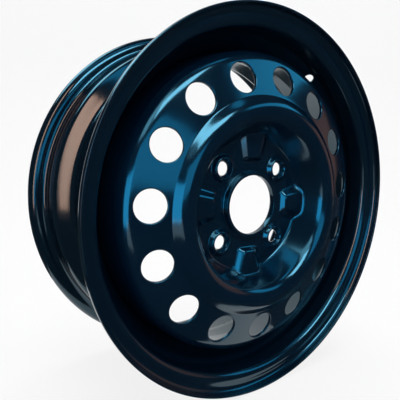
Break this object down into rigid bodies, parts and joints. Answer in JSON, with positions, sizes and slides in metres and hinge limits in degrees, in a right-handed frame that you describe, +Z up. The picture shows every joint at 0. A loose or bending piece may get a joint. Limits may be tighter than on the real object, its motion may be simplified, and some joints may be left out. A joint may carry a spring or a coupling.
{
  "type": "steel wheel rim",
  "caption": "Gloss black pressed-steel car wheel: a rolled drop-centre rim with a welded-in dished disc that has round vent holes, raised ribs, cone-seated lug holes and a flanged centre bore.",
  "frame": {"origin": "the centre of the lug circle on the hub face, which is the back of the hub plate on the spin axis", "axes": "+Y is the spin axis and points inboard, to the hub, -Y faces outboard, +Z is up as the wheel stands in the picture, and the lug holes lie at 45 degrees to X and Z"},
  "size_m": [0.4148, 0.1784, 0.4146],
  "materials": {
    "black_paint": "gloss"
  },
  "bodies": {
    "root": {"rim": "black_paint", "disc": "black_paint", "welds": "black_paint"}
  },
  "joints": []
}
